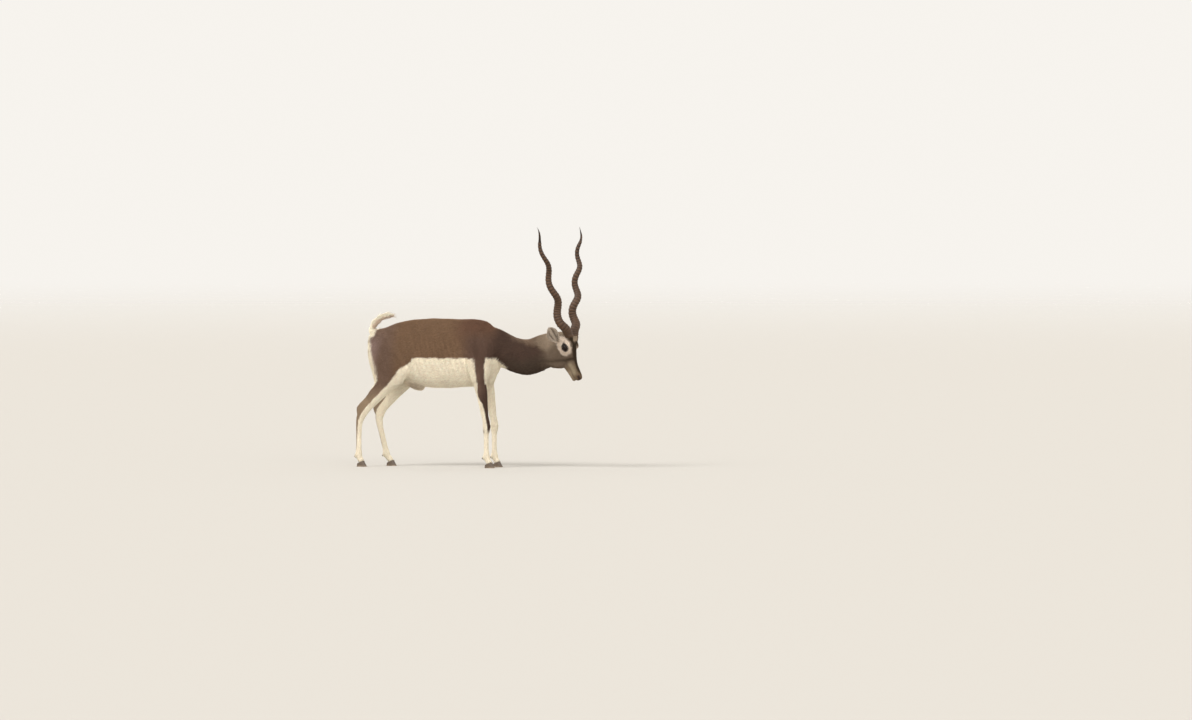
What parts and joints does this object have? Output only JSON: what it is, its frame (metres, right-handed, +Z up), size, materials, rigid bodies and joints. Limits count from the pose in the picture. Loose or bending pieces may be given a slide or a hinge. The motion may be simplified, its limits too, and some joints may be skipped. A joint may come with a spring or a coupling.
{
  "type": "blackbuck",
  "caption": "Adult male blackbuck antelope, life size, standing with its head low and its tail curled over the rump; ringed corkscrew horns.",
  "frame": {"origin": "on the floor under the middle of the model's box", "axes": "+X where the animal faces, +Y its left side, +Z up"},
  "size_m": [1.2044, 0.5134, 1.2286],
  "materials": {
    "coat": "short brown fur",
    "white_coat": "short cream-white fur",
    "face": "short fur, white round the eyes, dark down the nose",
    "horn": "ringed dark horn, satin",
    "hoof": "dark horn, satin",
    "eye": "wet and glossy"
  },
  "bodies": {
    "root": {"torso": "coat", "neck": "coat", "head": "face", "ear_left": "face", "ear_right": "face", "eye_left": "eye", "eye_right": "eye", "horn_left": "horn", "horn_right": "horn", "tail": "white_coat", "foreleg_right_upper": "coat", "foreleg_right_lower": "white_coat", "foreleg_right_claw_left": "hoof", "foreleg_right_claw_right": "hoof", "foreleg_left_upper": "coat", "foreleg_left_lower": "white_coat", "foreleg_left_claw_left": "hoof", "foreleg_left_claw_right": "hoof", "hindleg_right_upper": "coat", "hindleg_right_lower": "white_coat", "hindleg_right_claw_left": "hoof", "hindleg_right_claw_right": "hoof", "hindleg_left_upper": "coat", "hindleg_left_lower": "white_coat", "hindleg_left_claw_left": "hoof", "hindleg_left_claw_right": "hoof"}
  },
  "joints": []
}
